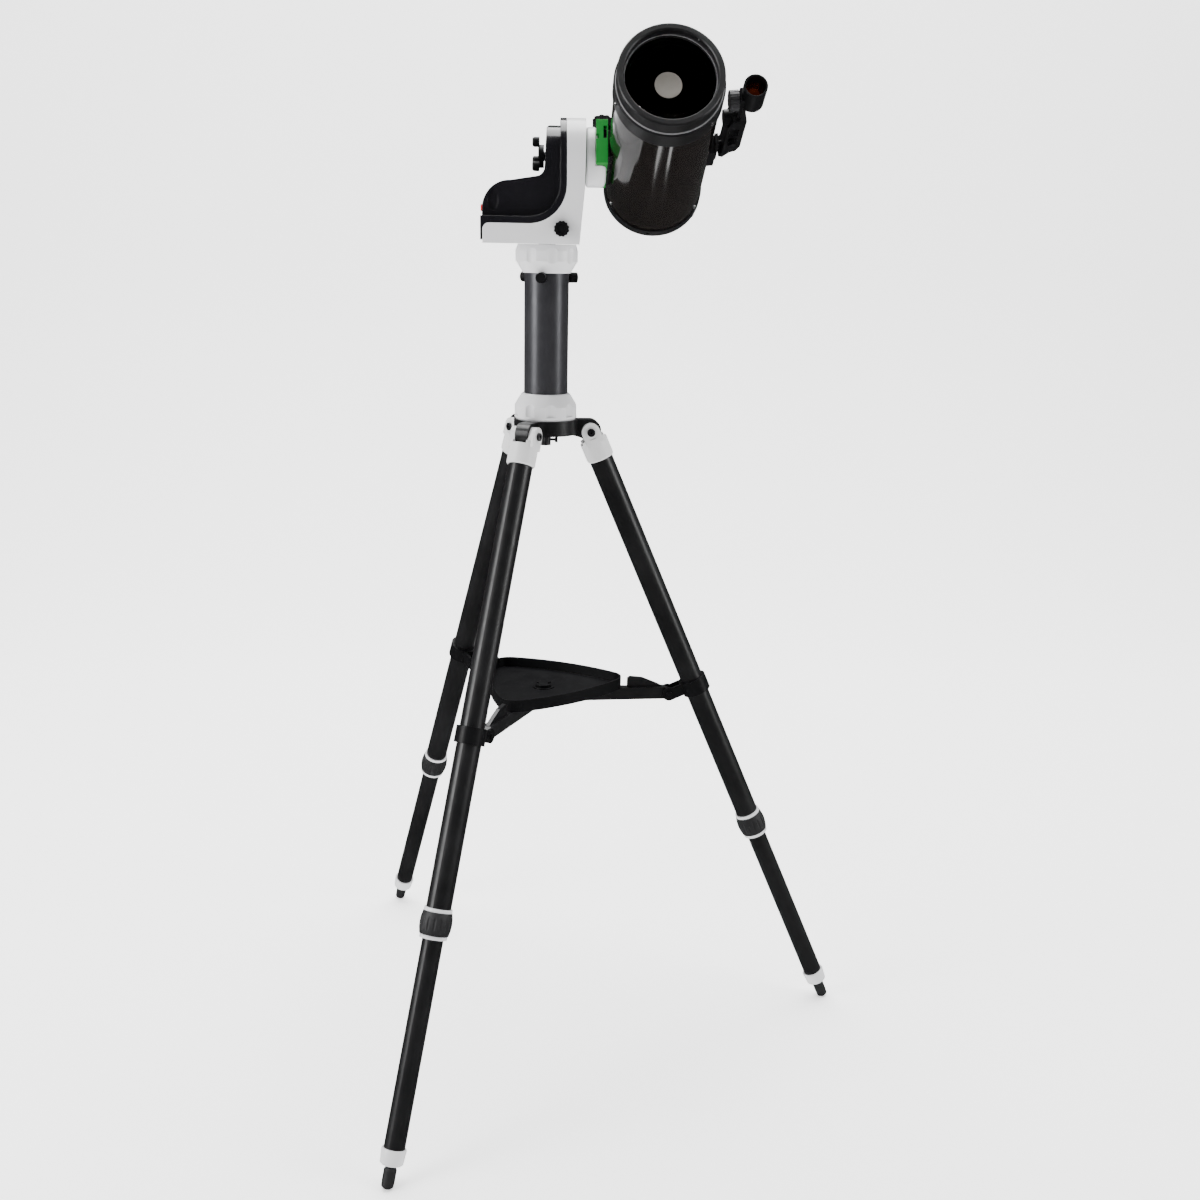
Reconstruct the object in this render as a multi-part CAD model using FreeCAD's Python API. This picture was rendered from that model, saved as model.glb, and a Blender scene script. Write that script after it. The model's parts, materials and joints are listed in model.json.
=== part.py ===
import FreeCAD, Part
import math
import os

# Telescope on a tripod.  Millimetres, +Z up.  +X points along the altitude axis from the
# head to the telescope tube.  Everything is drawn with the tripod's centre line at X = Y = 0
# and the floor at Z = 0; the saved parts are moved sideways by FRAME_SHIFT, which puts the
# origin in the middle of the whole object's footprint.

V = FreeCAD.Vector
ORIGIN = V(0, 0, 0)
AXIS_X = V(1, 0, 0)
AXIS_Y = V(0, 1, 0)
AXIS_Z = V(0, 0, 1)
FRAME_SHIFT = V(-102.1, 20.4, 0)
FIT = 0.05            # radial clearance of a running shaft
GAP = 0.3             # gap between neighbouring moving faces
SEAT = 0.02           # gap of a pressed, clamped or glued seat
SEAM = 0.05           # gap between two fixed covers
OVER = 1.0            # how far a cutting body reaches past the face it cuts

# ---------------------------------------------------------------- driving dimensions
# tripod
LEG_AZIMUTH = 4.86    # direction of the first leg, degrees from +X
LEG_SPLAY = 23.63     # lean of a leg from the vertical, degrees
HINGE_R = 65.0
HINGE_Z = 967.0
HUB_R = 46.0
HUB_TOP = 985.0
HUB_H = 21.0
LUG_W = 20.0
LUG_R = 15.7
LUG_UP = 2.3          # centre of a lug's round nose above the hinge pin
PIN_R = 4.0
PIN_HEAD_R = 5.8
PIN_HEAD_H = 3.0
HEX_R = 2.4
HEX_DEEP = 1.8
BOLT_BORE_R = 5.3
LUG_ROOT = 30.0       # radius at which a hub lug starts
EAR_R = 13.3
EAR_T = 9.0
SOCKET_R = 20.5
SOCKET_TOP = 14.2     # distances along a leg are measured from the hinge pin
SOCKET_END = 43.5
CHEEK_TOP = 10.0      # top of the socket's cheeks, which run up beside the hub's lug
CHEEK_LAP = 8.0       # how far the cheeks run down into the socket
SOCKET_ROOF = 5.0
UPPER_LEG_R = 17.6
UPPER_LEG_WALL = 2.0
UPPER_LEG_END = 712.0
LOWER_LEG_R = 14.8
LOWER_LEG_WALL = 2.0
LOWER_LEG_TOP = 595.0
COLLAR_TOP = 672.0
RING_H = 5.0
UPPER_RING_R = 19.7
LOWER_RING_R = 19.4
GRIP_H = 31.5
GRIP_R = 22.7         # widest, halfway down its barrel shape
GRIP_END_R = 20.4
GRIP_FLUTES = 16
GRIP_FLUTE_R = 2.8
FLUTE_END = 4.0       # plain rim left above and below the grip's flutes
FOOT_TOP = 1000.0
FOOT_CAP_H = 22.0
NECK_R = 5.5
NECK_H = 5.0
TIP_R = 9.0
PLUG_H = 15.0         # how far the lower tube sits inside the foot cap
FOOT_R = 17.5
LEG_TIP = 1055.5
FLOOR_HALF = 600.0    # block that trims the tips flat at the floor
FLOOR_DEEP = 20.0

# spreader and tray
CLAMP_AT = 431.0
CLAMP_H = 24.0
CLAMP_R = 21.8
BRACE_AT = 426.5      # brace pivot: distance along the leg
BRACE_IN = 42.9       # and inward from the leg's axis
BRACE_PIN_R = 2.5
EYE_R = 10.5
BRACE_EAR_T = 4.0
BRACE_HEAD_R = 4.6
BRACE_HEAD_H = 2.5
ARM_END_R = 38.0
ARM_W = 14.0
ARM_WALL = 3.0
ARM_DOWN = 8.5        # bottom of an arm below its pivot
ARM_UP = 10.6         # top of an arm above its pivot
ARM_FORK = 62.0
HOOK_T = 6.0
HOOK_OUTLINE = [(131, -1), (131, 14), (135, 17), (154, 15),
                (180, 4), (188, -1)]   # radius, height above the arm
SPREADER_R = 14.0
SPREADER_H = 14.0
SPREADER_PIN_AT = 43.0
SPREADER_LUG_R = 5.0
STEM_R = 4.2
TRAY_Z = 570.0
TRAY_H = 18.0
TRAY_FLOOR = 2.5
TRAY_CORNER_R = 121.0
TRAY_SIDE_R = 84.0
TRAY_ROUND = 26.0
TRAY_WALL = 2.5
TRAY_PAD_R = 17.0
TRAY_PAD_H = 1.5
TRAY_BOSS_R = 9.0
TRAY_BOSS_H = 6.0
TRAY_BORE_R = 4.5
LOCK_R = 13.0
LOCK_H = 4.0
LOCK_WAIST_R = 7.0
STEM_DOWN = 8.0

# pillar and flanges
PILLAR_R = 31.5
PILLAR_WALL = 3.0
PILLAR_BOTTOM = 996.0
PILLAR_TOP = 1205.0
FLANGE_R = 45.0
LOWER_FLANGE_TOP = 1022.0
UPPER_FLANGE_BOTTOM = 1188.5
UPPER_FLANGE_TOP = 1227.0
SCREW_AZIMUTHS = (-101.0, 19.0, 139.0)
SCREW_R = 2.5
SCREW_DOWN = 6.0      # pillar screws below the foot of the upper flange
SCREW_HEAD_R = 7.2
SCREW_HEAD_H = 11.5
SCREW_POCKET_R = 7.6
SCALLOPS = 9          # hollows round each flange
SCALLOP_R = 14.5
SPIGOT_H = 17.0
BOLT_KNOB_R = 8.0
BOLT_KNOB_H = 17.0
BOLT_R = 5.0
BOLT_L = 30.0
WING_DOWN = 9.0
WING_REACH = 14.0

# head
HEAD_Z = UPPER_FLANGE_TOP + GAP
ALT_Z = 1342.0
HEAD_HALF = 50.0      # half of the head's depth, and radius of its round top
HEAD_WALL = 4.0
HEAD_LEFT = -88.0
ARM_FACE = 52.0       # X of the arm's right face at the altitude axis
DRUM_R = 39.0
DRUM_X0 = 52.9
DRUM_X1 = 67.0
SKIRT_X = 80.0
SHAFT_R = 11.9
WHEEL_R = 29.0
WHEEL_T = 8.0
WHEEL_TEETH = 48
ARM_KINK = (51.0, 1300.0)     # bend in the arm's right face
ARM_FOOT_X = 44.5
CORNER_R = 9.0
COVER_HALF = 40.0     # half of the depth of the cover's bulge
COVER_WALL = 3.0
COVER_BAND = 9.0      # width of the cover's flat rim
COVER_LEFT = -91.0
COVER_FOOT = 1231.5
EYE_DIMPLE = (-74.0, -42.0, 1283.0)
EYE_DIMPLE_R = 17.0
BUTTON = (-15.0, -1.0, 1269.0, 1278.0)        # Y and Z limits of the power button
BUTTON_X = (-92.0, -82.0)
BUTTON_GAP = 0.3
ALT_KNOB_X = -4.6
ALT_KNOB_LOBES = (75, 195, 315)
LOBE_AT = 18.8
LOBE_R = 6.6
LOBE_L = 10.0
LOBE_OUT = 16.5
LOBE_ROUND = 3.5
AZ_KNOB_X = 19.7
AZ_KNOB_Z = 1247.4
AZ_KNOB_R = 10.5
AZ_KNOB_H = 10.0
KNOB_SHAFT_R = 4.0
ALT_KNOB_SHAFT_R = 6.0
MOTORS = ((-34.5, 20.0, 1246.0), (36.0, 20.0, 1307.5))

# telescope
ELEVATION = 25.0      # tube above the horizon at rest, degrees
TUBE_X = 151.0
TUBE_R = 68.4
TUBE_WALL = 2.0
TUBE_REAR = -80.0     # distances along the tube are measured from the altitude axis
TUBE_FRONT = 172.0
REAR_CELL_R = 70.2
REAR_CELL_END = -90.0
CELL_R = 70.5
CELL_STEP = 186.0
LIP_R = 67.4
LIP_END = 207.0
LIP_INNER_R = 58.6
LENS_R = 60.0
MIRROR_R = 61.0
BARREL_R = 15.8
LENS_SEAT = (178.0, 192.0)     # where the lens sits along the tube
LENS_STOP_R = 56.0
RETAINER_R = 57.0
RETAINER_END = 196.0
CELL_START = 160.0
LENS_FRONT_CURVE = 172.0
LENS_BACK_CURVE = 182.0
LENS_FRONT_Z = 180.5
LENS_BACK_Z = 169.5
REAR_CELL_START = -74.0
BAFFLE_R = 14.0
BAFFLE_END = 60.0
MIRROR_Z = -70.0
MIRROR_T = 12.0
MIRROR_CURVE = 420.0
FOCUS_AT = (-34.0, 22.0)
FOCUS_KNOB_R = 11.5
FOCUS_KNOB_H = 20.0
FOCUS_SHAFT_R = 4.0
DIAGONAL_DOWN = 38.0
DIAGONAL_HALF = 19.0
FINDER_X = 111.0      # finder window's distance from the tube's axis
FINDER_BASE = TUBE_R + 12.3
DIAL_END = TUBE_R + 25.0
DIAL_AT = 136.0
DIAL_R = 13.0
DIAL_H = 12.0
FINDER_PIVOT = 33.0
FINDER_TURN = 5.5     # how far round the tube the finder sits above its side, degrees

# saddle and its bar: X, then Y up from the tube's axis, then along the tube
PLATE_X = 72.0
PLATE_LOW = -26.3
PLATE_TOP = 31.0
PLATE_REAR = -34.0
PLATE_FRONT = 40.0
BLOCK_HALF = 31.0
BLOCK_X = (65.0, 81.0)
BLOCK_FRONT = 45.0
HOUSING_LOW = 27.3
BAR_X = 72.3          # face of the bar that lies on the saddle
BAR_DEEP = 92.0
BAR_HALF = 22.0
BAR_HALF_DEEP = 16.2
SADDLE_KNOB_R = 14.0
SADDLE_KNOB_H = 13.0
SADDLE_KNOB_AT = (75.5, 39.4, 6.0)


# ---------------------------------------------------------------- helpers
def cylinder(radius, height, base=ORIGIN, axis=AXIS_Z):
    return Part.makeCylinder(radius, height, base, axis)


def ring(outer, inner, height, base=ORIGIN, axis=AXIS_Z):
    return cylinder(outer, height, base, axis).cut(cylinder(inner, height, base, axis))


def box(x0, x1, y0, y1, z0, z1):
    return Part.makeBox(x1 - x0, y1 - y0, z1 - z0, V(x0, y0, z0))


def turned(profile):
    """Solid of revolution about Z from (radius, height) points."""
    points = [V(r, 0, z) for r, z in profile]
    face = Part.Face(Part.makePolygon(points + points[:1]))
    return face.revolve(ORIGIN, AXIS_Z, 360)


def prism_xz(points, y0, y1):
    """Prism along Y over a polygon of (x, z) points."""
    corners = [V(x, y0, z) for x, z in points]
    face = Part.Face(Part.makePolygon(corners + corners[:1]))
    return face.extrude(V(0, y1 - y0, 0))


def prism_xy(points, z0, z1):
    """Prism along Z over a polygon of (x, y) points."""
    corners = [V(x, y, z0) for x, y in points]
    face = Part.Face(Part.makePolygon(corners + corners[:1]))
    return face.extrude(V(0, 0, z1 - z0))


def wire_prism_xz(edges, y0, y1):
    face = Part.Face(Part.Wire(edges))
    solid = face.extrude(V(0, y1 - y0, 0))
    solid.translate(V(0, y0, 0))
    return solid


def line(a, b):
    return Part.LineSegment(V(a[0], 0, a[1]), V(b[0], 0, b[1])).toShape()


def arc(a, b, c):
    return Part.Arc(V(a[0], 0, a[1]), V(b[0], 0, b[1]), V(c[0], 0, c[1])).toShape()


def arc_mid(centre, radius, degrees):
    """Point on a circle of the XZ plane."""
    angle = math.radians(degrees)
    return (centre[0] + radius * math.cos(angle), centre[1] + radius * math.sin(angle))


def fuse(first, *others):
    return first.multiFuse(list(others)).removeSplitter()


def flutes(solid, count, at_radius, radius, z0, z1):
    """Cut upright round grooves in the side of a solid that stands on the Z axis."""
    for i in range(count):
        angle = 2 * math.pi * i / count
        base = V(at_radius * math.cos(angle), at_radius * math.sin(angle), z0)
        solid = solid.cut(cylinder(radius, z1 - z0, base))
    return solid


def stand_at(solid, point, axis):
    """Move a solid built on the Z axis so that it starts at a point, along an axis."""
    solid.Placement = FreeCAD.Placement(point, FreeCAD.Rotation(AXIS_Z, axis))
    return solid


def save(name, *solids):
    shape = solids[0] if len(solids) == 1 else Part.makeCompound(list(solids))
    for solid in solids:
        if not solid.isValid() or len(solid.Solids) != 1:
            raise RuntimeError(name + " is not one valid solid per piece")
    shape.translate(FRAME_SHIFT)
    shape.exportStep("parts/" + name + ".step")


def leg_azimuth(k):
    return LEG_AZIMUTH + 120.0 * k


def radial(solid, k):
    """Turn a solid of the first radial plane to leg k's plane."""
    solid.rotate(ORIGIN, AXIS_Z, leg_azimuth(k))
    return solid


def on_leg(solid, k):
    """Place a solid built down the -Z axis from the hinge pin on leg k."""
    solid.rotate(ORIGIN, AXIS_Y, -LEG_SPLAY)
    solid.translate(V(HINGE_R, 0, HINGE_Z))
    return radial(solid, k)


def at_altitude(solid):
    """Place a solid whose Z runs along the tube and whose Y is the tube's upward side."""
    solid.rotate(ORIGIN, AXIS_X, 90.0 - ELEVATION)
    solid.translate(V(0, 0, ALT_Z))
    return solid


def on_tube(solid):
    solid.translate(V(TUBE_X, 0, 0))
    return at_altitude(solid)


# ---------------------------------------------------------------- tripod
def tripod_hub():
    hub = cylinder(HUB_R, HUB_H, V(0, 0, HUB_TOP - HUB_H))
    nose_z = HINGE_Z + LUG_UP
    for k in range(3):
        lug = prism_xz([(LUG_ROOT, HUB_TOP - HUB_H), (LUG_ROOT, HUB_TOP), (HINGE_R, HUB_TOP),
                        (HINGE_R, nose_z - LUG_R), (HUB_R, HUB_TOP - HUB_H - 4)],
                       -LUG_W / 2, LUG_W / 2)
        nose = cylinder(LUG_R, LUG_W, V(HINGE_R, -LUG_W / 2, nose_z), AXIS_Y)
        hub = hub.fuse(radial(lug.fuse(nose), k))
    for k in range(3):
        hole = cylinder(PIN_R, LUG_W + 2 * OVER,
                        V(HINGE_R, -LUG_W / 2 - OVER, HINGE_Z), AXIS_Y)
        hub = hub.cut(radial(hole, k))
    hub = hub.cut(cylinder(BOLT_BORE_R, HUB_H + 2 * OVER, V(0, 0, HUB_TOP - HUB_H - OVER)))
    return hub.removeSplitter()


def hinge_pin(k):
    half = LUG_W / 2 + GAP + EAR_T + GAP
    shank = cylinder(PIN_R, 2 * half, V(HINGE_R, -half, HINGE_Z), AXIS_Y)
    for y in (-half - PIN_HEAD_H, half):
        head = cylinder(PIN_HEAD_R, PIN_HEAD_H, V(HINGE_R, y, HINGE_Z), AXIS_Y)
        floor = y if y < 0 else y + PIN_HEAD_H - HEX_DEEP
        socket = cylinder(HEX_R, HEX_DEEP, V(HINGE_R, floor, HINGE_Z), AXIS_Y)
        shank = shank.fuse(head.cut(socket))
    return radial(shank.removeSplitter(), k)


def leg_socket(k):
    inner = LUG_W / 2 + GAP
    depth = UPPER_LEG_R + SEAT
    body = turned([(0, -SOCKET_TOP), (SOCKET_R - 4, -SOCKET_TOP), (SOCKET_R, -SOCKET_TOP - SOCKET_ROOF),
                   (SOCKET_R, -SOCKET_END + 2), (SOCKET_R - 1.5, -SOCKET_END),
                   (depth, -SOCKET_END), (depth, -SOCKET_TOP - SOCKET_ROOF),
                   (0, -SOCKET_TOP - SOCKET_ROOF)])
    for side in (-1, 1):
        y = inner if side > 0 else -inner - EAR_T
        ear = cylinder(EAR_R, EAR_T, V(0, y, 0), AXIS_Y)
        ear = ear.fuse(box(-EAR_R, EAR_R, y, y + EAR_T, -SOCKET_TOP - SOCKET_ROOF + OVER, 0))
        body = body.fuse(ear)
    foot_of_cheeks = -SOCKET_TOP - CHEEK_LAP
    cheeks = cylinder(SOCKET_R, -CHEEK_TOP - foot_of_cheeks, V(0, 0, foot_of_cheeks))
    cheeks = cheeks.cut(box(-SOCKET_R, SOCKET_R, -inner, inner, -SOCKET_TOP, 0))
    bore_depth = CHEEK_LAP - SOCKET_ROOF
    cheeks = cheeks.cut(cylinder(depth, bore_depth, V(0, 0, foot_of_cheeks)))
    body = body.fuse(cheeks)
    body = body.cut(cylinder(PIN_R + FIT, 2 * SOCKET_R, V(0, -SOCKET_R, 0), AXIS_Y))
    return on_leg(body.removeSplitter(), k)


def upper_leg(k):
    top = SOCKET_TOP + SOCKET_ROOF + SEAM
    tube = ring(UPPER_LEG_R, UPPER_LEG_R - UPPER_LEG_WALL, UPPER_LEG_END - top,
                V(0, 0, -UPPER_LEG_END))
    return on_leg(tube, k)


def lock_rings(k):
    upper = ring(UPPER_RING_R, UPPER_LEG_R + SEAT, RING_H, V(0, 0, -COLLAR_TOP - RING_H))
    z_low = -COLLAR_TOP - RING_H - GRIP_H - 2 * GAP
    lower = turned([(UPPER_LEG_R + SEAT, z_low), (LOWER_RING_R, z_low), (LOWER_RING_R, z_low - RING_H),
                    (LOWER_LEG_R + GAP, z_low - RING_H), (LOWER_LEG_R + GAP, -UPPER_LEG_END - 0.1),
                    (UPPER_LEG_R + SEAT, -UPPER_LEG_END - 0.1)])
    return on_leg(upper, k), on_leg(lower, k)


def lock_grip(k):
    z_top = -COLLAR_TOP - RING_H - GAP
    z_low = z_top - GRIP_H
    shoulder = GRIP_H / 4
    bulge = (GRIP_END_R + 3 * GRIP_R) / 4
    grip = turned([(UPPER_LEG_R + GAP, z_top), (GRIP_END_R, z_top), (bulge, z_top - shoulder),
                   (GRIP_R, z_top - 2 * shoulder), (bulge, z_low + shoulder),
                   (GRIP_END_R, z_low), (UPPER_LEG_R + GAP, z_low)])
    grip = flutes(grip, GRIP_FLUTES, GRIP_R + 1.6, GRIP_FLUTE_R, z_low + FLUTE_END, z_top - FLUTE_END)
    return on_leg(grip, k)


def lower_leg(k):
    tube = ring(LOWER_LEG_R, LOWER_LEG_R - LOWER_LEG_WALL, FOOT_TOP + 10 - LOWER_LEG_TOP,
                V(0, 0, -FOOT_TOP - 10))
    return on_leg(tube, k)


def foot(k):
    z0 = -FOOT_TOP
    z1 = z0 - FOOT_CAP_H
    bore = LOWER_LEG_R + SEAT
    cap = turned([(bore, z0), (FOOT_R - 1, z0), (FOOT_R, z0 - 2), (FOOT_R - 1.5, z1 + 2),
                  (FOOT_R - 4, z1), (0, z1), (0, z0 - PLUG_H - SEAM),
                  (bore, z0 - PLUG_H - SEAM)])
    z_tip = -LEG_TIP
    shoulder = z1 - NECK_H
    tip = turned([(0, z1 - SEAT), (NECK_R, z1 - SEAT), (NECK_R, shoulder),
                  (TIP_R - 1, shoulder), (TIP_R, shoulder - 2), (TIP_R, z_tip + 12),
                  (8.5, z_tip + 4), (5, z_tip + 0.8), (0, z_tip)])
    tip = on_leg(tip, k).cut(box(-FLOOR_HALF, FLOOR_HALF, -FLOOR_HALF, FLOOR_HALF, -FLOOR_DEEP, 0))
    return on_leg(cap, k), tip


def brace_clamp(k):
    band = ring(CLAMP_R, UPPER_LEG_R + SEAT, CLAMP_H, V(0, 0, -CLAMP_AT - CLAMP_H / 2))
    inner = ARM_W / 2 + GAP
    bore = cylinder(UPPER_LEG_R + SEAT, 2 * CLAMP_H, V(0, 0, -CLAMP_AT - CLAMP_H))
    for side in (-1, 1):
        y = inner if side > 0 else -inner - BRACE_EAR_T
        ear = cylinder(EYE_R, BRACE_EAR_T, V(-BRACE_IN, y, -BRACE_AT), AXIS_Y)
        ear = ear.fuse(box(-BRACE_IN, -UPPER_LEG_R + OVER, y, y + BRACE_EAR_T,
                           -BRACE_AT - EYE_R, -CLAMP_AT + CLAMP_H / 2))
        band = band.fuse(ear.cut(bore))
    half = inner + BRACE_EAR_T
    band = band.cut(cylinder(BRACE_PIN_R, 2 * half, V(-BRACE_IN, -half, -BRACE_AT), AXIS_Y))
    pin = cylinder(BRACE_PIN_R, 2 * half, V(-BRACE_IN, -half, -BRACE_AT), AXIS_Y)
    for y in (-half - BRACE_HEAD_H, half):
        pin = pin.fuse(cylinder(BRACE_HEAD_R, BRACE_HEAD_H, V(-BRACE_IN, y, -BRACE_AT), AXIS_Y))
    return on_leg(band.removeSplitter(), k), on_leg(pin.removeSplitter(), k)


def brace_pivot():
    """Radius and height of a brace pivot at rest."""
    splay = math.radians(LEG_SPLAY)
    r = HINGE_R + BRACE_AT * math.sin(splay) - BRACE_IN * math.cos(splay)
    z = HINGE_Z - BRACE_AT * math.cos(splay) - BRACE_IN * math.sin(splay)
    return r, z


def spreader_arm(k):
    r, z = brace_pivot()
    half = ARM_W / 2
    top = z + ARM_UP
    low = z - ARM_DOWN
    outline = [(ARM_END_R, low + 4), (ARM_END_R + 5, low), (r, low), (r + 5, z - 4.5),
               (r + 6.7, z), (r + 5, z + 4.5), (r - 8, top), (ARM_END_R + 4, top),
               (ARM_END_R, top - 5)]
    arm = prism_xz(outline, -half, half)
    channel = box(0, r - 14, -half + ARM_WALL, half - ARM_WALL, low - 1, top - 3)
    fork = box(0, ARM_END_R + ARM_FORK, -half + ARM_WALL, half - ARM_WALL, low - 1, top + 1)
    hook = prism_xz([(x, top + up) for x, up in HOOK_OUTLINE], -HOOK_T / 2, HOOK_T / 2)
    arm = arm.cut(channel).cut(fork).fuse(hook)
    for x in (r, ARM_END_R + 6):
        arm = arm.cut(cylinder(BRACE_PIN_R + FIT, ARM_W, V(x, -half, z), AXIS_Y))
    return radial(arm.removeSplitter(), k)


def spreader_hub():
    _, z = brace_pivot()
    low = z - SPREADER_H + OVER
    half = SPREADER_LUG_R / 2
    hub = cylinder(SPREADER_R, SPREADER_H, V(0, 0, low))
    for k in range(3):
        lug = box(0, SPREADER_PIN_AT, -half, half, z - SPREADER_LUG_R, z + OVER)
        lug = lug.fuse(cylinder(SPREADER_LUG_R, SPREADER_LUG_R,
                                V(SPREADER_PIN_AT, -half, z), AXIS_Y))
        hub = hub.fuse(radial(lug, k))
    hub = hub.cut(cylinder(STEM_R, SPREADER_H + 2 * OVER, V(0, 0, low - OVER)))
    return hub.removeSplitter()


def tray_outline(grow):
    """Wire of a triangle with round corners and bowed sides, each arc tangent to the next."""
    corner_centre = TRAY_CORNER_R - TRAY_ROUND
    along = corner_centre * math.cos(math.radians(60))
    across = corner_centre * math.sin(math.radians(60))
    reach = TRAY_SIDE_R - TRAY_ROUND
    back = (along ** 2 + across ** 2 - reach ** 2) / (2 * (reach - along))
    swing = math.degrees(math.atan2(across, along + back))
    edges = []
    for k in range(3):
        mid = math.radians(leg_azimuth(k) + 60)
        centre = V(-back * math.cos(mid), -back * math.sin(mid), 0)
        radius = TRAY_SIDE_R + back + grow
        start = leg_azimuth(k) + 60 - swing
        edges.append(flat_arc(centre, radius, start, start + 2 * swing))
        turn = math.radians(leg_azimuth(k) + 120)
        corner = V(corner_centre * math.cos(turn), corner_centre * math.sin(turn), 0)
        edges.append(flat_arc(corner, TRAY_ROUND + grow, start + 2 * swing,
                              leg_azimuth(k) + 180 - swing))
    return Part.Wire(edges)


def flat_arc(centre, radius, start, end):
    points = []
    for degrees in (start, (start + end) / 2, end):
        angle = math.radians(degrees)
        points.append(centre + V(radius * math.cos(angle), radius * math.sin(angle), 0))
    return Part.Arc(*points).toShape()


def tray():
    def slab(grow, z0, z1):
        solid = Part.Face(tray_outline(grow)).extrude(V(0, 0, z1 - z0))
        solid.translate(V(0, 0, z0))
        return solid
    body = slab(0, TRAY_Z, TRAY_Z + TRAY_H)
    body = body.cut(slab(-TRAY_WALL, TRAY_Z + TRAY_FLOOR, TRAY_Z + TRAY_H + 1))
    body = body.fuse(cylinder(TRAY_PAD_R, TRAY_FLOOR + TRAY_PAD_H, V(0, 0, TRAY_Z)))
    body = body.fuse(cylinder(TRAY_BOSS_R, TRAY_BOSS_H, V(0, 0, TRAY_Z - TRAY_BOSS_H)))
    body = body.cut(cylinder(TRAY_BORE_R, 2 * TRAY_H, V(0, 0, TRAY_Z - TRAY_H)))
    return body.removeSplitter()


def tray_lock():
    z = TRAY_Z + TRAY_FLOOR + TRAY_PAD_H + GAP
    stem = cylinder(STEM_R, z - TRAY_Z + STEM_DOWN, V(0, 0, TRAY_Z - STEM_DOWN))
    wing = cylinder(LOCK_R, LOCK_H, V(0, 0, z))
    for side in (-1, 1):
        waist = V(side * (LOCK_R + 0.5), 0, z + TRAY_PAD_H)
        wing = wing.cut(cylinder(LOCK_WAIST_R, LOCK_H, waist))
    return wing.fuse(stem).removeSplitter()


# ---------------------------------------------------------------- pillar
def captive_bolt():
    z = HUB_TOP - HUB_H - GAP
    low = z - BOLT_KNOB_H
    knob = cylinder(BOLT_KNOB_R, BOLT_KNOB_H, V(0, 0, low))
    knob = flutes(knob, 10, BOLT_KNOB_R + 0.7, 1.3, low, z - 4)
    shank = cylinder(BOLT_R, BOLT_L, V(0, 0, z))
    wing = cylinder(1.8, WING_REACH - 2, V(BOLT_KNOB_R - 2, 0, z - WING_DOWN), AXIS_X)
    wing = wing.fuse(cylinder(4.2, 4, V(WING_REACH, 0, z - WING_DOWN), AXIS_X))
    return fuse(knob, shank, wing)


def lower_flange():
    z = HUB_TOP + SEAT
    body = turned([(0, z), (FLANGE_R - 2, z), (FLANGE_R, z + 3), (FLANGE_R, z + 20),
                   (FLANGE_R - 3, z + 25), (PILLAR_R + 4, LOWER_FLANGE_TOP - 1.5),
                   (PILLAR_R + 2, LOWER_FLANGE_TOP),
                   (PILLAR_R, LOWER_FLANGE_TOP), (PILLAR_R, PILLAR_BOTTOM),
                   (0, PILLAR_BOTTOM)])
    body = flutes(body, SCALLOPS, FLANGE_R + 12, SCALLOP_R, z + 6, z + 40)
    return body.cut(cylinder(BOLT_BORE_R, 20, V(0, 0, z - OVER))).removeSplitter()


def pillar_tube():
    tube = ring(PILLAR_R - SEAT, PILLAR_R - PILLAR_WALL, PILLAR_TOP - PILLAR_BOTTOM - SEAT,
                V(0, 0, PILLAR_BOTTOM + SEAT))
    for azimuth in SCREW_AZIMUTHS:
        hole = cylinder(SCREW_R + SEAM, PILLAR_R, V(SCREW_R, 0, UPPER_FLANGE_BOTTOM - SCREW_DOWN),
                        AXIS_X)
        hole.rotate(ORIGIN, AXIS_Z, azimuth)
        tube = tube.cut(hole)
    return tube


def upper_flange():
    z0 = UPPER_FLANGE_BOTTOM
    z1 = UPPER_FLANGE_TOP
    z_low = z0 - SPIGOT_H
    spigot = PILLAR_R - PILLAR_WALL - 2 * SEAM
    body = turned([(PILLAR_R, z0), (PILLAR_R + 2, z0), (FLANGE_R - 3.5, z0 + 13),
                   (FLANGE_R - 1, z0 + 16), (FLANGE_R - 1, z0 + 30), (FLANGE_R - 4, z1),
                   (0, z1), (0, z_low), (spigot, z_low), (spigot, PILLAR_TOP + SEAM),
                   (PILLAR_R, PILLAR_TOP + SEAM)])
    body = flutes(body, SCALLOPS, FLANGE_R + 11, SCALLOP_R, z0, z1 - 5)
    axle = cylinder(SHAFT_R, 22, V(0, 0, z1))
    for azimuth in SCREW_AZIMUTHS:
        hole = cylinder(SCREW_R, 20, V(20, 0, z0 - SCREW_DOWN), AXIS_X)
        pocket = V(PILLAR_R + OVER, 0, z0 - SCREW_DOWN)
        hole = hole.fuse(cylinder(SCREW_POCKET_R, SCREW_HEAD_H + 2.5, pocket, AXIS_X))
        hole.rotate(ORIGIN, AXIS_Z, azimuth)
        body = body.cut(hole)
    return fuse(body, axle)


def pillar_screw(azimuth):
    z = UPPER_FLANGE_BOTTOM - SCREW_DOWN
    shank = cylinder(SCREW_R, 14, V(21, 0, z), AXIS_X)
    head = cylinder(SCREW_HEAD_R, SCREW_HEAD_H)
    head = flutes(head, 14, SCREW_HEAD_R + 0.4, 0.8, 0, SCREW_HEAD_H)
    head = stand_at(head, V(PILLAR_R + 2, 0, z), AXIS_X)
    screw = fuse(head, shank)
    screw.rotate(ORIGIN, AXIS_Z, azimuth)
    return screw


# ---------------------------------------------------------------- head
BOUND_C = (-25.4, 1305.7)     # centre of the sweep between the housing and the cover
BOUND_R = 52.0
BASE_Z = BOUND_C[1] - BOUND_R
ARM_X = BOUND_C[0] + BOUND_R


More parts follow.
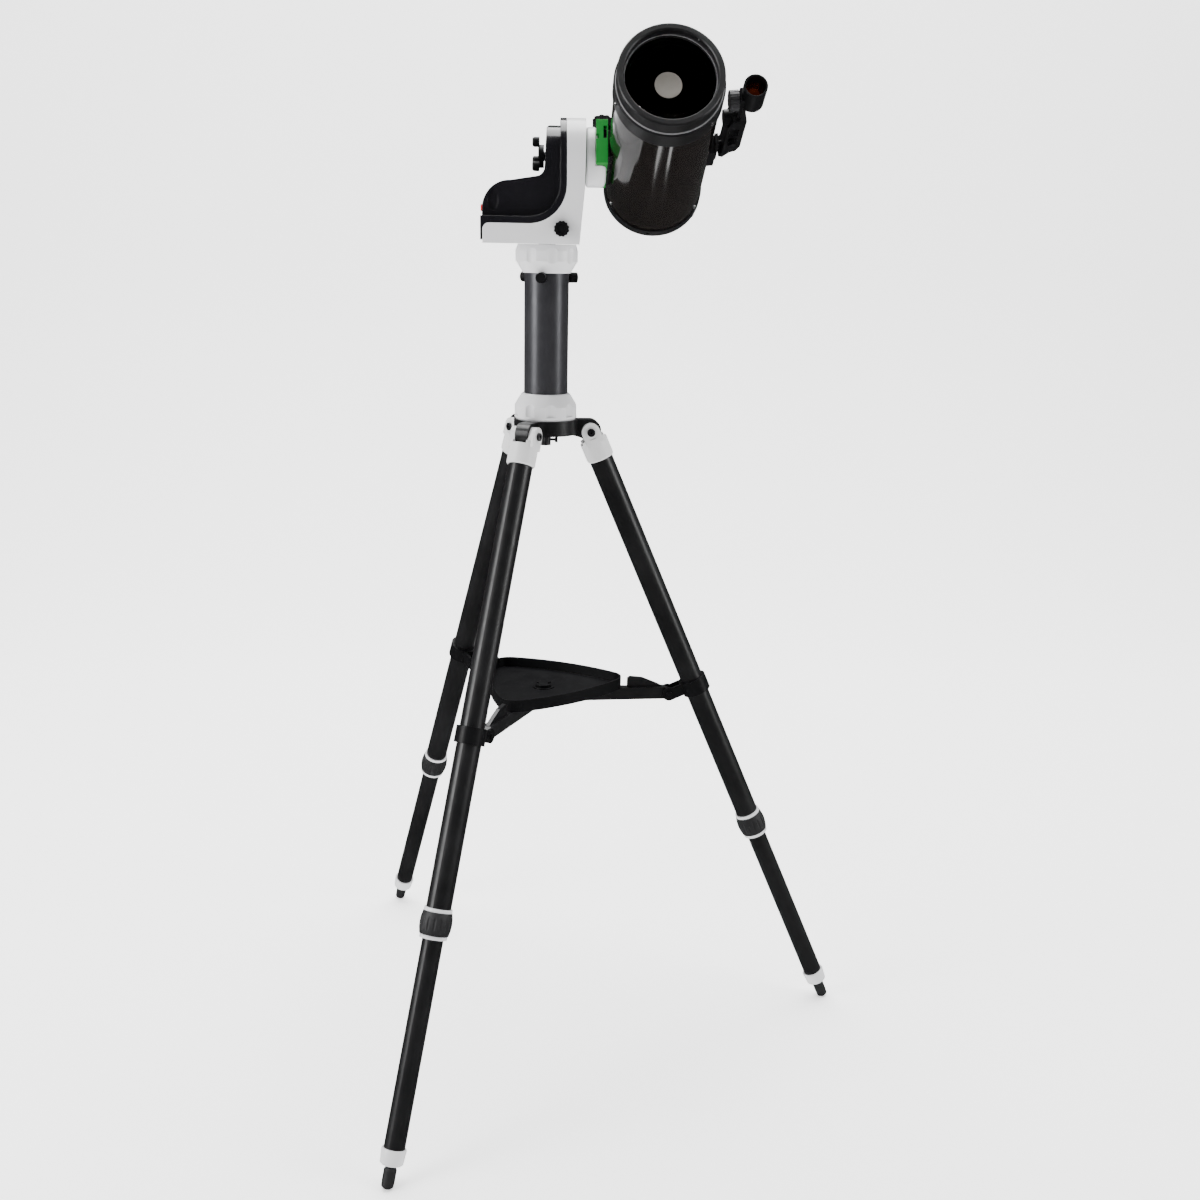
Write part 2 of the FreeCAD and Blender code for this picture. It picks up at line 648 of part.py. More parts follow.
def round_top(half):
    """Upright slab along X with a half-round top, which trims the head's front and back."""
    reach = 120
    slab = box(-reach, reach, -half, half, HEAD_Z - OVER, ALT_Z)
    return slab.fuse(cylinder(half, 2 * reach, V(-reach, 0, ALT_Z), AXIS_X)).removeSplitter()


def head_body():
    top = ALT_Z + HEAD_HALF
    bend = arc_mid(BOUND_C, BOUND_R, -45)
    corner = (HEAD_LEFT + CORNER_R, BASE_Z - CORNER_R)
    edges = [line((HEAD_LEFT, HEAD_Z), (ARM_FOOT_X, HEAD_Z)),
             line((ARM_FOOT_X, HEAD_Z), ARM_KINK),
             line(ARM_KINK, (ARM_FACE, top)),
             line((ARM_FACE, top), (ARM_X - 1, top)),
             line((ARM_X - 1, top), (ARM_X, BOUND_C[1])),
             arc((ARM_X, BOUND_C[1]), bend, (BOUND_C[0], BASE_Z)),
             line((BOUND_C[0], BASE_Z), (corner[0], BASE_Z)),
             arc((corner[0], BASE_Z), arc_mid(corner, CORNER_R, 135), (HEAD_LEFT, corner[1])),
             line((HEAD_LEFT, corner[1]), (HEAD_LEFT, HEAD_Z))]
    body = wire_prism_xz(edges, -HEAD_HALF, HEAD_HALF).common(round_top(HEAD_HALF))
    wall = HEAD_WALL
    foot = (ARM_FOOT_X - wall, HEAD_Z + wall)
    kink = (ARM_KINK[0] - wall, ARM_KINK[1])
    inside = [line((HEAD_LEFT + wall, HEAD_Z + wall), foot),
              line(foot, kink),
              line(kink, (ARM_FACE - wall, top)),
              line((ARM_FACE - wall, top), (ARM_X - 2, top)),
              line((ARM_X - 2, top), (ARM_X - 1, BOUND_C[1])),
              arc((ARM_X - 1, BOUND_C[1]), arc_mid(BOUND_C, BOUND_R - 1, -45),
                  (BOUND_C[0], BASE_Z + 1)),
              line((BOUND_C[0], BASE_Z + 1), (HEAD_LEFT + wall, BASE_Z + 1)),
              line((HEAD_LEFT + wall, BASE_Z + 1), (HEAD_LEFT + wall, HEAD_Z + wall))]
    hollow = wire_prism_xz(inside, -HEAD_HALF + wall, HEAD_HALF - wall)
    body = body.cut(hollow.common(round_top(HEAD_HALF - wall)))
    body = body.cut(cylinder(SHAFT_R + FIT, 30, V(0, 0, HEAD_Z - OVER)))
    body = body.cut(cylinder(SHAFT_R + FIT, 20, V(40, 0, ALT_Z), AXIS_X))
    body = body.cut(cylinder(KNOB_SHAFT_R + FIT, 12, V(AZ_KNOB_X, -HEAD_HALF - OVER, AZ_KNOB_Z), AXIS_Y))
    return body.removeSplitter()


def bulge_edges(inset, open_to):
    """Outline of the cover's bulge, drawn in by a wall and closed at the sweep."""
    i = inset
    bend = arc_mid(BOUND_C, open_to, -45)
    x_arm = BOUND_C[0] + open_to
    z_base = BOUND_C[1] - open_to
    top = ALT_Z + COVER_HALF - i
    return [line((x_arm, BOUND_C[1]), (x_arm, top)),
            line((x_arm, top), (4, top)),
            arc((4, top), (0.2 + i * 0.8, top - 1.8), (-1.8 + i, top - 6)),
            line((-1.8 + i, top - 6), (-4 + i, 1327)),
            arc((-4 + i, 1327), (-7.3 + i, 1318.8 - i), (-15, 1315 - i)),
            line((-15, 1315 - i), (-50, 1309.3 - i)),
            arc((-50, 1309.3 - i), (-77.5 + i * 0.7, 1298.5 - i * 0.7), (-88.3 + i, 1278)),
            line((-88.3 + i, 1278), (-89 + i, z_base)),
            line((-89 + i, z_base), (BOUND_C[0], z_base)),
            arc((BOUND_C[0], z_base), bend, (x_arm, BOUND_C[1]))]


def head_cover():
    top = ALT_Z + HEAD_HALF
    band = COVER_BAND
    inner_r = BOUND_R - band
    corner = (HEAD_LEFT + CORNER_R, BASE_Z - CORNER_R)
    out_r = BOUND_R - SEAM
    edges = [line((ARM_X - 1 - SEAM, top), (ARM_X - band - 0.5, top)),
             line((ARM_X - band - 0.5, top), (ARM_X - band, BOUND_C[1])),
             arc((ARM_X - band, BOUND_C[1]), arc_mid(BOUND_C, inner_r, -45),
                 (BOUND_C[0], BASE_Z + band)),
             line((BOUND_C[0], BASE_Z + band), (COVER_LEFT, BASE_Z + band)),
             line((COVER_LEFT, BASE_Z + band), (COVER_LEFT, COVER_FOOT)),
             line((COVER_LEFT, COVER_FOOT), (HEAD_LEFT - SEAM, COVER_FOOT)),
             line((HEAD_LEFT - SEAM, COVER_FOOT), (HEAD_LEFT - SEAM, corner[1])),
             arc((HEAD_LEFT - SEAM, corner[1]), arc_mid(corner, CORNER_R + SEAM, 135),
                 (corner[0], BASE_Z + SEAM)),
             line((corner[0], BASE_Z + SEAM), (BOUND_C[0], BASE_Z + SEAM)),
             arc((BOUND_C[0], BASE_Z + SEAM), arc_mid(BOUND_C, out_r, -45),
                 (ARM_X - SEAM, BOUND_C[1])),
             line((ARM_X - SEAM, BOUND_C[1]), (ARM_X - 1 - SEAM, top))]
    rim = wire_prism_xz(edges, -HEAD_HALF, HEAD_HALF).common(round_top(HEAD_HALF))
    half = COVER_HALF
    bulge = wire_prism_xz(bulge_edges(0, inner_r + 0.5), -half, half).common(round_top(half))
    cover = rim.fuse(bulge)
    half = COVER_HALF - COVER_WALL
    hollow = wire_prism_xz(bulge_edges(COVER_WALL, BOUND_R + 2), -half, half)
    cover = cover.cut(hollow.common(round_top(half)))
    y0, y1, z0, z1 = BUTTON
    cover = cover.cut(box(BUTTON_X[0] - 3, BUTTON_X[1] + 2, y0 - BUTTON_GAP, y1 + BUTTON_GAP,
                          z0 - BUTTON_GAP, z1 + BUTTON_GAP))
    cover = cover.cut(cylinder(ALT_KNOB_SHAFT_R + FIT, 20, V(-12, 0, ALT_Z), AXIS_X))
    x, y, z = EYE_DIMPLE
    eye = cylinder(EYE_DIMPLE_R, 4, V(x + 10, y, z), AXIS_Y)
    eye = eye.common(cylinder(EYE_DIMPLE_R, 4, V(x - 10, y, z), AXIS_Y))
    return cover.cut(eye).removeSplitter()


def power_button():
    button = box(*BUTTON_X, *BUTTON)
    face_edges = [edge for edge in button.Edges
                  if abs(edge.CenterOfMass.x - BUTTON_X[0]) < 0.01]
    return button.makeFillet(1.0, face_edges)


def altitude_knob():
    x = ALT_KNOB_X
    knob = cylinder(15, 8, V(x - 8 - GAP, 0, ALT_Z), AXIS_X)
    for degrees in ALT_KNOB_LOBES:
        angle = math.radians(degrees)
        y = -LOBE_AT * math.cos(angle)
        z = ALT_Z + LOBE_AT * math.sin(angle)
        lobe = cylinder(LOBE_R, LOBE_L, V(x - LOBE_OUT, y, z), AXIS_X)
        end = [edge for edge in lobe.Edges
               if abs(edge.CenterOfMass.x - x + LOBE_OUT) < 0.01]
        knob = knob.fuse(lobe.makeFillet(LOBE_ROUND, end))
    knob = knob.fuse(cylinder(ALT_KNOB_SHAFT_R, 10, V(x - 2, 0, ALT_Z), AXIS_X))
    return knob.removeSplitter()


def azimuth_knob():
    knob = flutes(cylinder(AZ_KNOB_R, AZ_KNOB_H), 12, AZ_KNOB_R + 0.8, 1.9, 0, AZ_KNOB_H)
    knob = knob.cut(cylinder(6.5, 2, V(0, 0, AZ_KNOB_H - 1.5)))
    knob = stand_at(knob, V(AZ_KNOB_X, -HEAD_HALF - GAP, AZ_KNOB_Z), V(0, -1, 0))
    shaft = cylinder(KNOB_SHAFT_R, 12, V(AZ_KNOB_X, -HEAD_HALF - OVER, AZ_KNOB_Z), AXIS_Y)
    return knob.fuse(shaft).removeSplitter()


def worm_wheel():
    wheel = cylinder(WHEEL_R, WHEEL_T)
    wheel = flutes(wheel, WHEEL_TEETH, WHEEL_R + 0.2, 1.0, -OVER, WHEEL_T + OVER)
    return wheel.cut(cylinder(SHAFT_R + SEAT, WHEEL_T))


def azimuth_wheel():
    wheel = worm_wheel()
    wheel.translate(V(0, 0, HEAD_Z + HEAD_WALL + 4))
    return wheel


def drive_motor(centre):
    """A motor with its worm along Y; the worm runs beside a wheel."""
    x, y, z = centre
    motor = cylinder(9.5, 16, V(x, y, z), AXIS_Y)
    shaft = cylinder(2, y + 16, V(x, -16, z), AXIS_Y)
    worm = cylinder(4.6, 24, V(x, -12, z), AXIS_Y)
    return fuse(motor, shaft, worm)


def altitude_hub():
    drum = turned([(0, DRUM_X0), (DRUM_R - 2, DRUM_X0), (DRUM_R, DRUM_X0 + 2),
                   (DRUM_R, DRUM_X1 - 3), (DRUM_R - 3, DRUM_X1), (0, DRUM_X1)])
    skirt = turned([(0, DRUM_X1 - 4), (DRUM_R, DRUM_X1 - 4), (DRUM_R, SKIRT_X - 6),
                    (DRUM_R - 2, SKIRT_X - 2), (DRUM_R - 6, SKIRT_X), (0, SKIRT_X)])
    hub = drum.fuse(skirt.common(box(-50, 50, -50, -26.6, 0, 100)))
    hub = hub.fuse(cylinder(SHAFT_R, 32, V(0, 0, DRUM_X0 - 32)))
    hub.rotate(ORIGIN, AXIS_Y, 90)
    hub.rotate(ORIGIN, AXIS_X, 90.0 - ELEVATION)
    hub.translate(V(0, 0, ALT_Z))
    return hub.removeSplitter()


def altitude_wheel():
    wheel = worm_wheel()
    wheel.rotate(ORIGIN, AXIS_Y, 90)
    wheel.translate(V(32, 0, ALT_Z))
    return wheel


# ---------------------------------------------------------------- saddle (x, up, along)
def saddle():
    x0 = DRUM_X1 + SEAT
    x1 = BLOCK_X[1]
    plate = box(x0, PLATE_X, PLATE_LOW, PLATE_TOP, PLATE_REAR, PLATE_FRONT)
    front = box(*BLOCK_X, -BLOCK_HALF, BLOCK_HALF, PLATE_FRONT - 0.2, BLOCK_FRONT)
    lower_jaw = prism_xy([(x1 - 11, PLATE_LOW), (x1, PLATE_LOW), (x1, PLATE_LOW + 6.8),
                          (PLATE_X, PLATE_LOW + 4), (x1 - 11, PLATE_LOW + 4)],
                         PLATE_REAR, PLATE_FRONT)
    housing = box(x0, x1 - 1, HOUSING_LOW, PLATE_TOP, PLATE_REAR, PLATE_FRONT)
    body = fuse(plate, front, lower_jaw, housing)
    for window in ((75, 79.5, 4, 22), (63, 69, 3, 10)):
        body = body.cut(box(*window, PLATE_FRONT - 2, BLOCK_FRONT + OVER))
    x, y, z = SADDLE_KNOB_AT
    body = body.cut(cylinder(3 + FIT, y - 19.4, V(x, 20, z), AXIS_Y))
    return at_altitude(body.removeSplitter())


def saddle_jaw():
    jaw = prism_xy([(BAR_X, BAR_HALF + 0.7), (80, 20), (80, 24), (BAR_X, 24)],
                   PLATE_REAR + 4, PLATE_FRONT - 4)
    return at_altitude(jaw)


def saddle_knob():
    knob = cylinder(SADDLE_KNOB_R, SADDLE_KNOB_H)
    knob = flutes(knob, 9, SADDLE_KNOB_R + 1.5, 3.2, -OVER, SADDLE_KNOB_H + OVER)
    knob = knob.fuse(cylinder(8, 8, V(0, 0, -8)))
    knob = knob.fuse(cylinder(3, 12, V(0, 0, -12)))
    knob = stand_at(knob, V(*SADDLE_KNOB_AT), AXIS_Y)
    return at_altitude(knob.removeSplitter())


def dovetail_bar():
    near = BAR_X - TUBE_X
    far = BAR_DEEP - TUBE_X
    bar = prism_xy([(near, -BAR_HALF), (far, -BAR_HALF_DEEP), (far, BAR_HALF_DEEP),
                    (near, BAR_HALF)], PLATE_REAR - 6, PLATE_FRONT - 2)
    bar = bar.cut(cylinder(TUBE_R + SEAT, 300, V(0, 0, -150)))
    return on_tube(bar)


# ---------------------------------------------------------------- telescope (x, up, along)
def optical_tube():
    return on_tube(ring(TUBE_R, TUBE_R - TUBE_WALL, TUBE_FRONT - TUBE_REAR,
                        V(0, 0, TUBE_REAR)))


def front_cell():
    bore = TUBE_R - TUBE_WALL - SEAT
    seat, ring_foot = LENS_SEAT
    cell = turned([(TUBE_R + SEAT, CELL_START), (CELL_R - 0.6, CELL_START),
                   (CELL_R, CELL_START + 1.5),
                   (CELL_R, CELL_STEP - 1.5), (CELL_R - 0.8, CELL_STEP),
                   (LIP_R - 1, CELL_STEP), (LIP_R - 1, CELL_STEP + 1.4),
                   (LIP_R, CELL_STEP + 2.2), (LIP_R, LIP_END - 1.5), (LIP_R - 1.5, LIP_END),
                   (LIP_INNER_R + 1.5, LIP_END), (LIP_INNER_R, LIP_END - 1.5),
                   (LIP_INNER_R, RETAINER_END), (RETAINER_R, RETAINER_END),
                   (RETAINER_R, ring_foot), (LENS_R + 0.1, ring_foot),
                   (LENS_R + 0.1, seat), (LENS_STOP_R, seat),
                   (LENS_STOP_R, CELL_START + 6), (bore, CELL_START + 0.1),
                   (bore, TUBE_FRONT + 0.1), (TUBE_R + SEAT, TUBE_FRONT + 0.1)])
    return on_tube(cell)


def corrector_lens():
    """Meniscus lens whose hollow side faces the sky."""
    seat, ring_foot = LENS_SEAT
    low = LENS_BACK_Z - 1.5
    disc = cylinder(LENS_R, ring_foot - SEAM - low, V(0, 0, low))
    disc = disc.cut(Part.makeSphere(LENS_FRONT_CURVE, V(0, 0, LENS_FRONT_Z + LENS_FRONT_CURVE)))
    disc = disc.common(Part.makeSphere(LENS_BACK_CURVE, V(0, 0, LENS_BACK_Z + LENS_BACK_CURVE)))
    rim = cylinder(LENS_R, ring_foot - seat - 2 * SEAM, V(0, 0, seat + SEAM))
    disc = disc.common(rim.fuse(cylinder(LENS_STOP_R - 0.2, seat + 10 - low, V(0, 0, low))))
    return on_tube(disc.removeSplitter())


def rear_cell():
    outer = REAR_CELL_R
    inner = TUBE_R - TUBE_WALL - SEAT
    cell = turned([(TUBE_R + SEAT, REAR_CELL_START), (outer, REAR_CELL_START),
                   (outer, REAR_CELL_END + 2),
                   (outer - 2, REAR_CELL_END), (54, REAR_CELL_END - 9), (26, REAR_CELL_END - 11),
                   (BARREL_R + 3, REAR_CELL_END - 11), (BARREL_R + 3, REAR_CELL_END - 4),
                   (BAFFLE_R - 2, REAR_CELL_END - 4), (BAFFLE_R - 2, BAFFLE_END),
                   (BAFFLE_R, BAFFLE_END), (BAFFLE_R, TUBE_REAR), (50, TUBE_REAR),
                   (inner, REAR_CELL_START), (inner, TUBE_REAR - 0.1), (TUBE_R + SEAT, TUBE_REAR - 0.1)])
    cell = cell.cut(cylinder(FOCUS_SHAFT_R + FIT, 40, V(*FOCUS_AT, REAR_CELL_END - 25)))
    for i in range(6):
        angle = math.radians(60 * i + 25)
        point = V((outer - 1) * math.cos(angle), (outer - 1) * math.sin(angle), -82)
        outward = V(math.cos(angle), math.sin(angle), 0)
        cell = cell.fuse(cylinder(2.6, 2.2, point, outward))
    return on_tube(cell.removeSplitter())


def primary_mirror():
    bore = BAFFLE_R + FIT
    dish = MIRROR_Z + MIRROR_T - 4
    mirror = ring(MIRROR_R, bore, MIRROR_T, V(0, 0, MIRROR_Z))
    mirror = mirror.cut(Part.makeSphere(MIRROR_CURVE, V(0, 0, dish + MIRROR_CURVE)))
    carrier = ring(BAFFLE_R + 3, bore, 30, V(0, 0, dish))
    return on_tube(mirror.fuse(carrier).removeSplitter())


def focus_knob():
    z = REAR_CELL_END - 12
    low = z - FOCUS_KNOB_H
    knob = cylinder(FOCUS_KNOB_R, FOCUS_KNOB_H, V(0, 0, low))
    knob = flutes(knob, 16, FOCUS_KNOB_R + 0.7, 1.4, low + 1, z - 2)
    shaft = cylinder(FOCUS_SHAFT_R, 26, V(0, 0, z - 2))
    solid = fuse(knob, shaft)
    solid.translate(V(*FOCUS_AT, 0))
    return on_tube(solid)


def visual_back():
    z = REAR_CELL_END - 11
    bore = BARREL_R + FIT
    body = turned([(bore, z + 7), (BARREL_R + 2.9, z + 7), (BARREL_R + 2.9, z - 0.1), (26, z - 0.1),
                   (26, z - 9), (21, z - 12), (21, z - 26), (bore, z - 26)])
    body = body.cut(cylinder(2.0, 30, V(0, 0, z - 19), AXIS_X))
    screw = cylinder(1.98, 7, V(BARREL_R + FIT + 0.3, 0, z - 19), AXIS_X).fuse(
        flutes_along_x(V(22.3, 0, z - 19)))
    return on_tube(body.removeSplitter()), on_tube(screw.removeSplitter())


def flutes_along_x(point):
    head = flutes(cylinder(5, 7), 10, 5.4, 0.8, 0, 7)
    return stand_at(head, point, AXIS_X)


def star_diagonal():
    z = REAR_CELL_END - 11
    nose = ring(BARREL_R, BARREL_R - 1.8, 30, V(0, 0, z - DIAGONAL_DOWN))
    z_mid = z - DIAGONAL_DOWN - DIAGONAL_HALF
    house = prism_yz([(-20, z_mid + 20), (20, z_mid + 20), (20, z_mid - 20), (4, z_mid - 20),
                      (-20, z_mid + 4)], -DIAGONAL_HALF, DIAGONAL_HALF)
    inside = prism_yz([(-15, z_mid + 16), (16, z_mid + 16), (16, z_mid - 15), (5, z_mid - 15),
                       (-15, z_mid + 5)], -15, 15)
    holder = ring(20, BARREL_R + FIT, 26, V(0, 20, z_mid), AXIS_Y)
    body = house.cut(inside)
    body = body.cut(cylinder(BARREL_R - 1.8, 30, V(0, 0, z_mid + 10)))
    body = body.cut(cylinder(BARREL_R + FIT, 20, V(0, 10, z_mid), AXIS_Y))
    return on_tube(fuse(body, nose, holder))


def prism_yz(points, x0, x1):
    corners = [V(x0, y, z) for y, z in points]
    face = Part.Face(Part.makePolygon(corners + corners[:1]))
    return face.extrude(V(x1 - x0, 0, 0))


def eyepiece():
    z_mid = REAR_CELL_END - 11 - DIAGONAL_DOWN - DIAGONAL_HALF
    body = turned([(BARREL_R - 1.5, 24), (BARREL_R, 24), (BARREL_R, 46.4), (21, 46.4),
                   (21.5, 60), (20.5, 62), (20.5, 76), (19, 84), (16, 84), (16, 78), (0, 78),
                   (0, 70), (BARREL_R - 1.5, 70)])
    body.rotate(ORIGIN, AXIS_X, -90)
    body.translate(V(0, 0, z_mid))
    return on_tube(body)


# ---------------------------------------------------------------- finder (x, up, along)
def on_finder(solid):
    """Finder piece drawn beside the tube, turned up round the tube to its seat."""
    solid.rotate(ORIGIN, AXIS_Z, FINDER_TURN)
    return on_tube(solid)


def finder_mount():
    edge = TUBE_R + 8
    shoe = box(TUBE_R - 8, edge, -14, 14, -2, 32)
    rail = box(edge - 1, edge + 3.5, -8, 8, 4, 44)
    pivot = cylinder(3, FINDER_BASE + 6 - edge, V(edge, 0, FINDER_PIVOT), AXIS_X)
    solid = shoe.fuse(rail).cut(cylinder(TUBE_R + SEAT, 100, V(0, 0, -40))).fuse(pivot)
    return on_finder(solid.removeSplitter())


def finder_body():
    base = FINDER_BASE
    block = prism_xz([(base, 21), (base + 4, 32), (base + 4, 92), (base + 9, 106),
                      (base + 27, 106), (base + 27, 43), (base + 22, 32), (base + 14, 29),
                      (base + 6, 18)], -13, 13)
    block = block.cut(box(base + 8, base + 20, -14, 14, 72, 88))
    block = block.fuse(cylinder(10, 14, V(base - 2, 0, 97), AXIS_X))
    block = block.cut(cylinder(2 + FIT, 7, V(base + 14, -13.5, 60), AXIS_Y))
    block = block.cut(cylinder(3 + FIT, 16.5, V(base - 10, 0, FINDER_PIVOT), AXIS_X))
    yoke = box(DIAL_END + 0.8, FINDER_X - 12, -9, 9, 96, 150)
    tube = cylinder(15.5, 36, V(FINDER_X, 0, 132))
    bore = cylinder(13.3, 38, V(FINDER_X, 0, 131))
    body = fuse(block, yoke, tube).cut(bore)
    body = body.cut(cylinder(2 + FIT, 2.6, V(DIAL_END + 0.5, 0, DIAL_AT), AXIS_X))
    return on_finder(body.removeSplitter())


def finder_dial():
    dial = flutes(cylinder(DIAL_R, DIAL_H), 16, DIAL_R + 0.6, 1.3, -1, DIAL_H + 1)
    dial = dial.fuse(cylinder(2, 2.8, V(0, 0, DIAL_H)))
    dial = stand_at(dial.removeSplitter(), V(DIAL_END - DIAL_H, 0, DIAL_AT), AXIS_X)
    return on_finder(dial)


def finder_knob():
    knob = flutes(cylinder(6.5, 8), 12, 6.9, 0.8, 0, 8)
    knob = knob.fuse(cylinder(2, 6, V(0, 0, -6)))
    knob = stand_at(knob, V(FINDER_BASE + 14, -13.3, 60), V(0, -1, 0))
    return on_finder(knob.removeSplitter())


# ---------------------------------------------------------------- build
def main():
    os.makedirs("parts", exist_ok=True)
    save("tripod_hub", tripod_hub())
    save("leg_hinge_pins", *[hinge_pin(k) for k in range(3)])
    for k in range(3):
        number = str(k + 1)
        save("leg_socket_" + number, leg_socket(k))
        save("upper_leg_" + number, upper_leg(k))
        save("lock_rings_" + number, *lock_rings(k))
        save("lock_grip_" + number, lock_grip(k))
        save("lower_leg_" + number, lower_leg(k))
        save("foot_" + number, *foot(k))
        save("brace_clamp_" + number, *brace_clamp(k))
        save("spreader_arm_" + number, spreader_arm(k))
    save("spreader_hub", spreader_hub())
    save("tray", tray())
    save("tray_lock", tray_lock())
    save("captive_bolt", captive_bolt())
    save("lower_flange", lower_flange())
    save("pillar_tube", pillar_tube())
    save("upper_flange", upper_flange())
    save("pillar_screws", *[pillar_screw(a) for a in SCREW_AZIMUTHS])
    save("head_body", head_body())
    save("head_cover", head_cover())
    save("power_button", power_button())
    save("altitude_knob", altitude_knob())
    save("azimuth_knob", azimuth_knob())
    save("azimuth_wheel", azimuth_wheel())
    save("drive_motors", *[drive_motor(centre) for centre in MOTORS])
    save("altitude_hub", altitude_hub())
    save("altitude_wheel", altitude_wheel())
    save("saddle", saddle())
    save("saddle_jaw", saddle_jaw())
    save("saddle_knob", saddle_knob())
    save("dovetail_bar", dovetail_bar())
    save("optical_tube", optical_tube())
    save("front_cell", front_cell())
    save("corrector_lens", corrector_lens())
    save("rear_cell", rear_cell())
    save("primary_mirror", primary_mirror())
    save("focus_knob", focus_knob())
    save("visual_back", *visual_back())
    save("star_diagonal", star_diagonal())
    save("eyepiece", eyepiece())
    save("finder_mount", finder_mount())
    save("finder_body", finder_body())
    save("finder_dial", finder_dial())
    save("finder_knob", finder_knob())


main()
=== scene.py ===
import json
import math

import bmesh
import bpy
from mathutils import Matrix, Vector


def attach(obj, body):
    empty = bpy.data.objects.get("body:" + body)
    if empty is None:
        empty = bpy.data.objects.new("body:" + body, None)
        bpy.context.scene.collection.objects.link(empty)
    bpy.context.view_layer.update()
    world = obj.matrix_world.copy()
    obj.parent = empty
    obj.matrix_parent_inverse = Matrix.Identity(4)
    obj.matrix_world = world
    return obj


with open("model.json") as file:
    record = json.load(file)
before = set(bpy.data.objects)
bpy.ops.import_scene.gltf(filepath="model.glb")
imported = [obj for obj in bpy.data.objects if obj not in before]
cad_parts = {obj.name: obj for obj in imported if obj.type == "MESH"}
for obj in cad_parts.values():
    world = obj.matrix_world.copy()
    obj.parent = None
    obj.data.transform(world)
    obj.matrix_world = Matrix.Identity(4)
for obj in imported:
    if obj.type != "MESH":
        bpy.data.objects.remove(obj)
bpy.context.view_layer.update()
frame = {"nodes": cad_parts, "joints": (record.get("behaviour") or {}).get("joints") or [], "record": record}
nodes = frame["nodes"]

MM = 0.001

# ---------------------------------------------------------------- places taken from the frame
JOINT_AT = {joint["name"]: joint for joint in frame["joints"]}
MOUNT_AT = {mount["name"]: mount for mount in frame["record"]["mounts"]}
CAP_SEAT = Vector(MOUNT_AT["dust_cap_seat"]["pos_m"])
TUBE_DIR = Vector(MOUNT_AT["dust_cap_seat"]["axis"]).normalized()
SIDE_DIR = Vector((1, 0, 0))
UP_DIR = SIDE_DIR.cross(TUBE_DIR) * -1
ALT_PIVOT = Vector(JOINT_AT["altitude"]["pos_m"])
TUBE_MID = CAP_SEAT - TUBE_DIR * (CAP_SEAT - ALT_PIVOT).dot(TUBE_DIR)
TUBE_FRAME = Matrix((SIDE_DIR, UP_DIR, TUBE_DIR)).transposed().to_4x4()
TUBE_FRAME.translation = TUBE_MID


def on_tube(side, up, along):
    """Point given in mm across, above and along the tube, from beside the altitude pivot."""
    return TUBE_MID + (SIDE_DIR * side + UP_DIR * up + TUBE_DIR * along) * MM


# ---------------------------------------------------------------- materials
COAT_ROUGH = 0.06
SMEARS_PER_PATCH = 3.1
BEVEL_SAMPLES = 4

# sockets of a Mix node that blends colours
MIX_FACTOR, MIX_FIRST, MIX_SECOND, MIX_RESULT = 0, 6, 7, 2


def node(tree, kind, **inputs):
    made = tree.nodes.new(kind)
    for name, value in inputs.items():
        made.inputs[name.replace("_", " ")].default_value = value
    return made


def noise(tree, coords, scale, detail=3.0, roughness=0.55):
    made = node(tree, "ShaderNodeTexNoise", Scale=scale, Detail=detail, Roughness=roughness)
    tree.links.new(coords, made.inputs["Vector"])
    return made.outputs["Fac"]


def spread(tree, factor, low, high, start=0.3, end=0.7):
    """A value that runs from low to high as the noise runs from start to end."""
    made = node(tree, "ShaderNodeMapRange", From_Min=start, From_Max=end,
                To_Min=low, To_Max=high)
    tree.links.new(factor, made.inputs["Value"])
    return made.outputs["Result"]


def surface(name, colour, rough, metallic=0.0, coat=0.0, tone=0.06, patch=14.0,
            smear=0.06, grain=1.0, depth=0.01, edge=0.5, speck=0.0, gloss=0.5):
    """Painted, moulded or machined surface.

    tone: how far the colour drifts in patches.  patch: patches per metre.
    smear: how far the roughness drifts.  grain: mm across one grain of the texture, and
    depth: its height in mm.  edge: radius in mm to which edges look rounded.
    speck: strength of fine pale specks, as in powder coat.  gloss: level of the plain
    reflection, 0.5 for common plastic.
    """
    material = bpy.data.materials.new(name)
    material.use_nodes = True
    tree = material.node_tree
    shader = tree.nodes["Principled BSDF"]
    shader.inputs["Metallic"].default_value = metallic
    shader.inputs["Coat Weight"].default_value = coat
    shader.inputs["Coat Roughness"].default_value = COAT_ROUGH
    shader.inputs["Specular IOR Level"].default_value = gloss
    coords = tree.nodes.new("ShaderNodeTexCoord").outputs["Object"]
    mix = tree.nodes.new("ShaderNodeMix")
    mix.data_type = "RGBA"
    dark = [channel * (1 - tone) for channel in colour]
    light = [min(1.0, channel * (1 + tone) + speck * 0.02) for channel in colour]
    mix.inputs[MIX_FIRST].default_value = (*dark, 1)
    mix.inputs[MIX_SECOND].default_value = (*light, 1)
    patches = spread(tree, noise(tree, coords, patch, 4.0), 0, 1)
    tree.links.new(patches, mix.inputs[MIX_FACTOR])
    tree.links.new(mix.outputs[MIX_RESULT], shader.inputs["Base Color"])
    smears = noise(tree, coords, patch * SMEARS_PER_PATCH, 5.0, 0.65)
    tree.links.new(spread(tree, smears, rough - smear, rough + smear),
                   shader.inputs["Roughness"])
    bevel = node(tree, "ShaderNodeBevel", Radius=edge * MM)
    bevel.samples = BEVEL_SAMPLES
    bump = node(tree, "ShaderNodeBump", Strength=1.0, Distance=depth * MM)
    tree.links.new(bevel.outputs["Normal"], bump.inputs["Normal"])
    tree.links.new(noise(tree, coords, 1000.0 / grain, 2.0), bump.inputs["Height"])
    tree.links.new(bump.outputs["Normal"], shader.inputs["Normal"])
    return material


